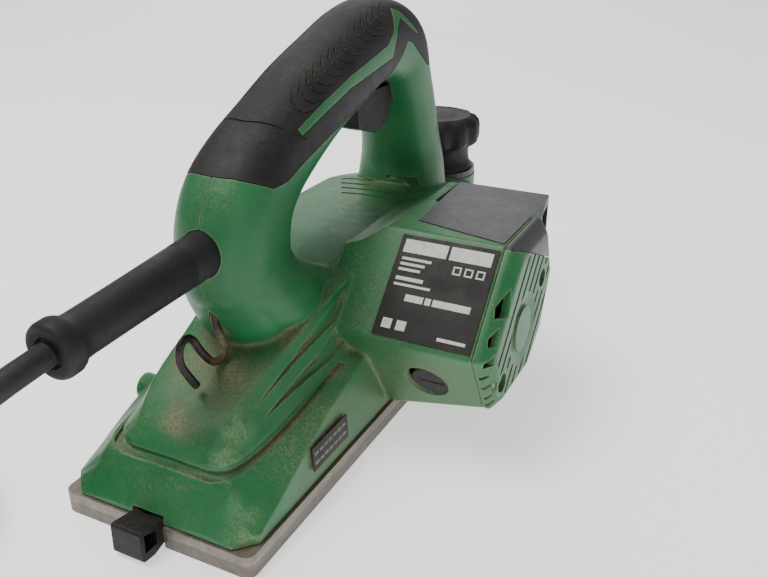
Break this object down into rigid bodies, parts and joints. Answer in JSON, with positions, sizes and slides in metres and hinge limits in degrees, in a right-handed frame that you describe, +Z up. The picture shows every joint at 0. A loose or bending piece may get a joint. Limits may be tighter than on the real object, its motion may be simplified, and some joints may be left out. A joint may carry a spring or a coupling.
{
  "type": "electric hand planer",
  "caption": "Hand-held electric wood planer with a motor pod on one side, belt-driven knife drum, depth knob, chip chute, hinged rear foot and coiled mains cord.",
  "frame": {"origin": "middle of the tool's footprint, on the plane of the soles; the free cord, coil and plug are not counted", "axes": "+Z up, +Y the way the tool planes, +X to the motor side"},
  "size_m": [0.2586, 0.4139, 0.1687],
  "materials": {
    "green_plastic": "satin moulded, worn edges",
    "black_rubber": "matte moulded",
    "black_plastic": "satin moulded",
    "grey_plastic": "smooth satin",
    "aluminium": "cast and machined",
    "steel": "machined",
    "dark_steel": "dark, partly rusty",
    "copper": "copper, bare",
    "carbon": "pressed carbon",
    "label": "printed foil",
    "rubber_cord": "matte"
  },
  "bodies": {
    "frame": {"housing": "green_plastic", "handle_cover": "green_plastic", "grip_cover": "black_rubber", "end_cover": "green_plastic", "belt_cover": "green_plastic", "chip_chute": "grey_plastic", "nameplate": "label", "side_label": "label", "base_frame": "aluminium", "brush_cap_front": "black_plastic", "brush_cap_rear": "black_plastic", "brush_holder_front": "copper", "brush_holder_rear": "copper", "carbon_brush_front": "carbon", "carbon_brush_rear": "carbon", "stator": "dark_steel", "motor_bearing_left": "steel", "motor_bearing_right": "steel", "drive_belt": "black_rubber", "drum_bearing_left": "steel", "drum_bearing_right": "steel", "depth_scale": "grey_plastic", "depth_spring": "steel", "switch_body": "black_plastic", "cord_armour": "black_rubber", "wire_hook": "dark_steel", "foot_pin": "steel", "foot_spring": "steel", "case_screw_1": "steel", "case_screw_2": "steel", "cover_screw_1": "steel", "cover_screw_2": "steel", "power_cord": "rubber_cord", "cord_coil": "rubber_cord", "cord_tail": "rubber_cord", "coil_tie": "black_rubber", "plug": "black_rubber", "plug_pin_left": "steel", "plug_pin_right": "steel"},
    "drum": {"cutter_drum": "aluminium", "planer_blade_1": "steel", "planer_blade_2": "steel", "blade_clamp_1": "dark_steel", "blade_clamp_2": "dark_steel", "driven_pulley": "steel"},
    "rotor": {"armature": "dark_steel", "commutator": "copper", "fan": "grey_plastic", "drive_pulley": "steel"},
    "knob": {"depth_knob": "black_plastic", "depth_screw": "steel"},
    "front": {"front_base": "aluminium"},
    "trigger": {"trigger": "black_plastic"},
    "lock": {"lock_button": "black_plastic"},
    "foot": {"park_foot": "black_plastic"}
  },
  "joints": [
    {"name": "drum_spin", "type": "hinge", "parent": "frame", "child": "drum", "pos_m": [-0.0156, 0.05393, 0.025], "axis": [1, 0, 0], "continuous": true},
    {"name": "rotor_spin", "type": "hinge", "parent": "frame", "child": "rotor", "pos_m": [-0.0156, -0.00257, 0.0495], "axis": [1, 0, 0], "continuous": true},
    {"name": "depth_knob_turn", "type": "hinge", "parent": "frame", "child": "knob", "pos_m": [-0.0156, 0.11993, 0.08], "axis": [0, 0, 1], "range_deg": [0, 312]},
    {"name": "front_sole_rise", "type": "slide", "parent": "frame", "child": "front", "axis": [0, 0, 1], "range_m": [0, 0.0026]},
    {"name": "trigger_pull", "type": "hinge", "parent": "frame", "child": "trigger", "pos_m": [-0.0156, 0.04793, 0.129], "axis": [-1, 0, 0], "range_deg": [0, 6], "stiffness_Nm_per_rad": 2, "springref_deg": -4.58},
    {"name": "lock_press", "type": "slide", "parent": "frame", "child": "lock", "axis": [1, 0, 0], "range_m": [0, 0.003], "stiffness_N_per_m": 400, "springref_m": -0.003},
    {"name": "foot_swing", "type": "hinge", "parent": "frame", "child": "foot", "pos_m": [-0.0156, -0.12267, 0.0056], "axis": [1, 0, 0], "range_deg": [0, 40], "stiffness_Nm_per_rad": 0.015, "springref_deg": 40.11}
  ],
  "couplings": [
    {"joint": "rotor_spin", "follows": "drum_spin", "ratio": 1.65},
    {"joint": "depth_knob_turn", "follows": "front_sole_rise", "rad_per_m": 2094.4}
  ]
}
